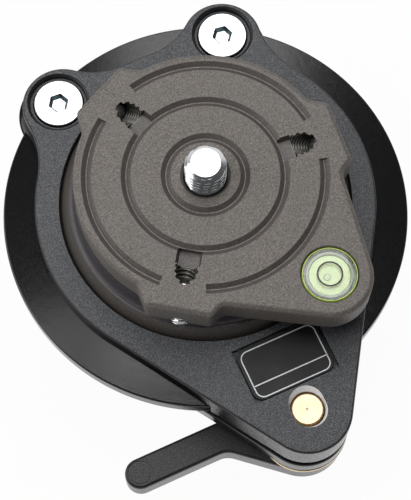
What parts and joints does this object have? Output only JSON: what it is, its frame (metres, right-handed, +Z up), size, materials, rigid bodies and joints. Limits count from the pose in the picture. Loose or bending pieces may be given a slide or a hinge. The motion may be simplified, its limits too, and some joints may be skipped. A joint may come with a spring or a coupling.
{
  "type": "camera leveler",
  "caption": "Half-ball camera leveler: grooved round plate with a stud and a bullseye level, held in a bowl by a clamp ring with a locking lever.",
  "frame": {"origin": "middle of the part's box in plan, on the underside of the foot; the axis of the ball stands 8.65 mm towards +Y", "axes": "+Z up through the ball and the stud, -Y along the nose of the clamp ring towards the lever's pivot, the lever points along -X when locked"},
  "size_m": [0.0962, 0.1136, 0.0762],
  "materials": {
    "black_crackle": "black crackle paint on cast aluminium, rubbed bright at machined faces",
    "bronze_anodised": "speckled warm grey hard anodised, satin",
    "ball_anodised": "dark grey hard anodised, semi gloss",
    "zinc_steel": "bright zinc plated steel",
    "brass": "turned brass",
    "nylon": "natural nylon",
    "label": "black foil with a thin white border, bare",
    "level_cup": "translucent yellow green plastic",
    "level_fluid": "pale green fluid",
    "level_window": "clear acrylic"
  },
  "bodies": {
    "base": {"base_body": "black_crackle", "tripod_bush": "zinc_steel", "ear_screw_left": "zinc_steel", "ear_screw_right": "zinc_steel"},
    "clamp": {"clamp_ring": "black_crackle", "label_plate": "label", "tie_stud": "brass"},
    "lever": {"lever": "black_crackle", "lever_nut": "zinc_steel", "thrust_washer": "brass"},
    "pan_seat": {"lower_seat_ring": "nylon"},
    "tilt_seat": {"upper_seat_ring": "nylon"},
    "head": {"ball": "ball_anodised", "top_plate": "bronze_anodised", "camera_stud": "zinc_steel", "stud_washer": "zinc_steel", "plate_screw_1": "zinc_steel", "plate_screw_2": "zinc_steel", "plate_screw_3": "zinc_steel", "level_cup": "level_cup", "level_fluid": "level_fluid", "level_window": "level_window"},
    "set_screw_1": {"set_screw_1": "zinc_steel"},
    "set_screw_2": {"set_screw_2": "zinc_steel"},
    "set_screw_3": {"set_screw_3": "zinc_steel"}
  },
  "joints": [
    {"name": "lever_swing", "type": "hinge", "parent": "base", "child": "lever", "pos_m": [0, -0.04645, 0.02883], "axis": [0, 0, 1], "range_deg": [0, 75]},
    {"name": "clamp_open", "type": "hinge", "parent": "base", "child": "clamp", "pos_m": [0, 0.04606, 0.05043], "axis": [-1, 0, 0], "range_deg": [0, 0.13]},
    {"name": "pan", "type": "hinge", "parent": "base", "child": "pan_seat", "pos_m": [0, 0.00865, 0.0346], "axis": [0, 0, 1], "continuous": true},
    {"name": "tilt_x", "type": "hinge", "parent": "pan_seat", "child": "tilt_seat", "pos_m": [0, 0.00865, 0.0346], "axis": [1, 0, 0], "range_deg": [-6, 6]},
    {"name": "tilt_y", "type": "hinge", "parent": "tilt_seat", "child": "head", "pos_m": [0, 0.00865, 0.0346], "axis": [0, 1, 0], "range_deg": [-6, 6]},
    {"name": "set_screw_1_travel", "type": "slide", "parent": "head", "child": "set_screw_1", "axis": [-0.7042, 0.0641, 0.7071], "range_m": [-0.001, 0.0063]},
    {"name": "set_screw_2_travel", "type": "slide", "parent": "head", "child": "set_screw_2", "axis": [0.2966, -0.6419, 0.7071], "range_m": [-0.001, 0.0063]},
    {"name": "set_screw_3_travel", "type": "slide", "parent": "head", "child": "set_screw_3", "axis": [0.4076, 0.5778, 0.7071], "range_m": [-0.001, 0.0063]}
  ],
  "couplings": [
    {"joint": "clamp_open", "follows": "lever_swing", "ratio": 0.00172}
  ]
}
